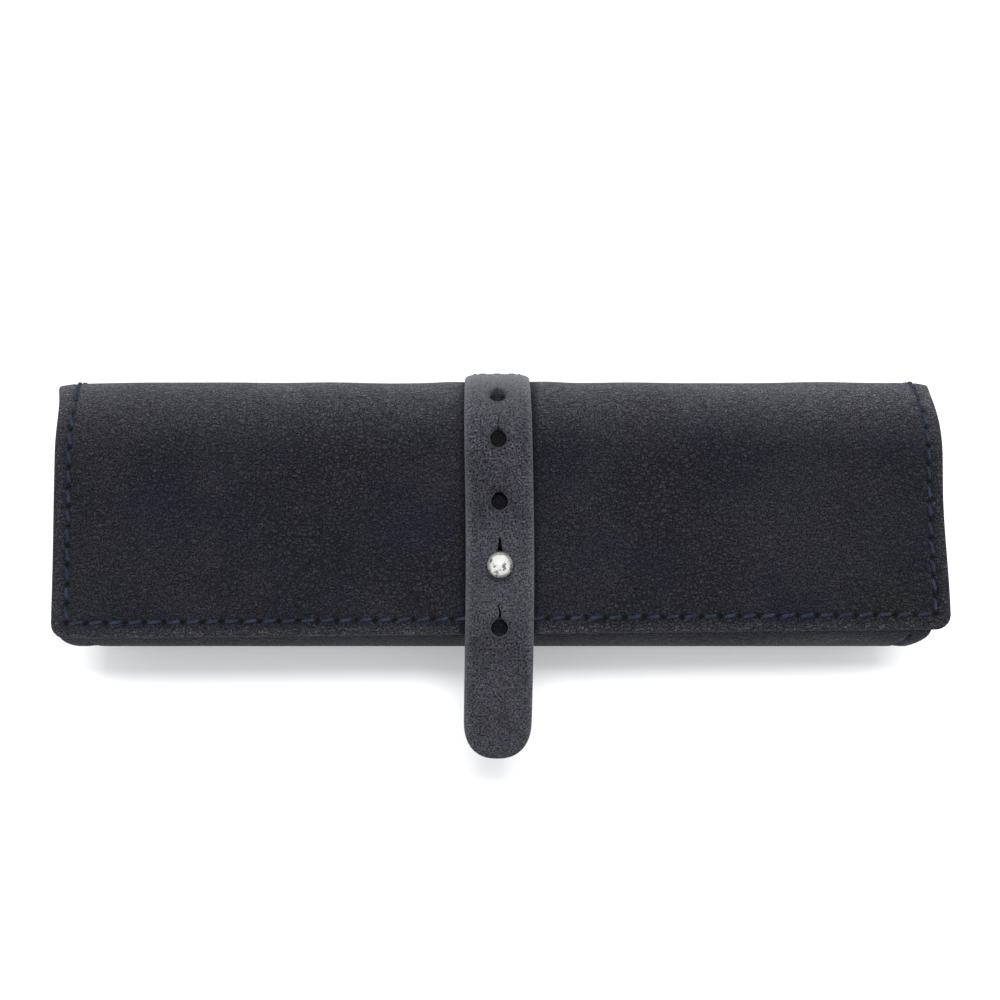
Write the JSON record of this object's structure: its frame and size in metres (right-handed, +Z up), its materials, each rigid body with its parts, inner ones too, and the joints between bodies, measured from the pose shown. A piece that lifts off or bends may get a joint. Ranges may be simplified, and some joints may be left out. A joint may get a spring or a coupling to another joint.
{
  "type": "pencil case",
  "caption": "Slim lined leather pencil case with a fold-over flap, closed by a strap that buttons on a ball stud.",
  "frame": {"origin": "middle of the base's outer face, the face that the case lies on", "axes": "+X along the case's length, +Y towards the spine, -Y towards the flap's edge and the strap's tail, +Z up"},
  "size_m": [0.21, 0.0928, 0.0396],
  "materials": {
    "outer_leather": "matt pebbled nubuck",
    "lining_leather": "smooth matt",
    "strap_suede": "suede",
    "nickel": "polished nickel",
    "thread": "waxed"
  },
  "bodies": {
    "shell": {"front_panel": "outer_leather", "front_lining": "lining_leather", "back_panel": "outer_leather", "back_lining": "lining_leather", "gusset_left": "outer_leather", "gusset_right": "outer_leather", "stud_head": "nickel", "stud_screw": "nickel", "stud_patch": "lining_leather", "side_seam_thread_left": "thread", "side_seam_thread_right": "thread", "base_seam_thread": "thread"},
    "flap": {"flap_outer": "outer_leather", "flap_lining": "lining_leather", "flap_seam_thread": "thread", "strap_root": "strap_suede", "strap_root_thread": "thread"},
    "strap": {"strap": "strap_suede"}
  },
  "joints": [
    {"name": "flap_open", "type": "hinge", "parent": "shell", "child": "flap", "pos_m": [0, 0.03234, 0.00724], "axis": [-1, 0, 0], "range_deg": [0, 105]},
    {"name": "strap_open", "type": "hinge", "parent": "flap", "child": "strap", "pos_m": [0, 0.02555, 0.02925], "axis": [-1, 0, 0], "range_deg": [0, 75]}
  ]
}
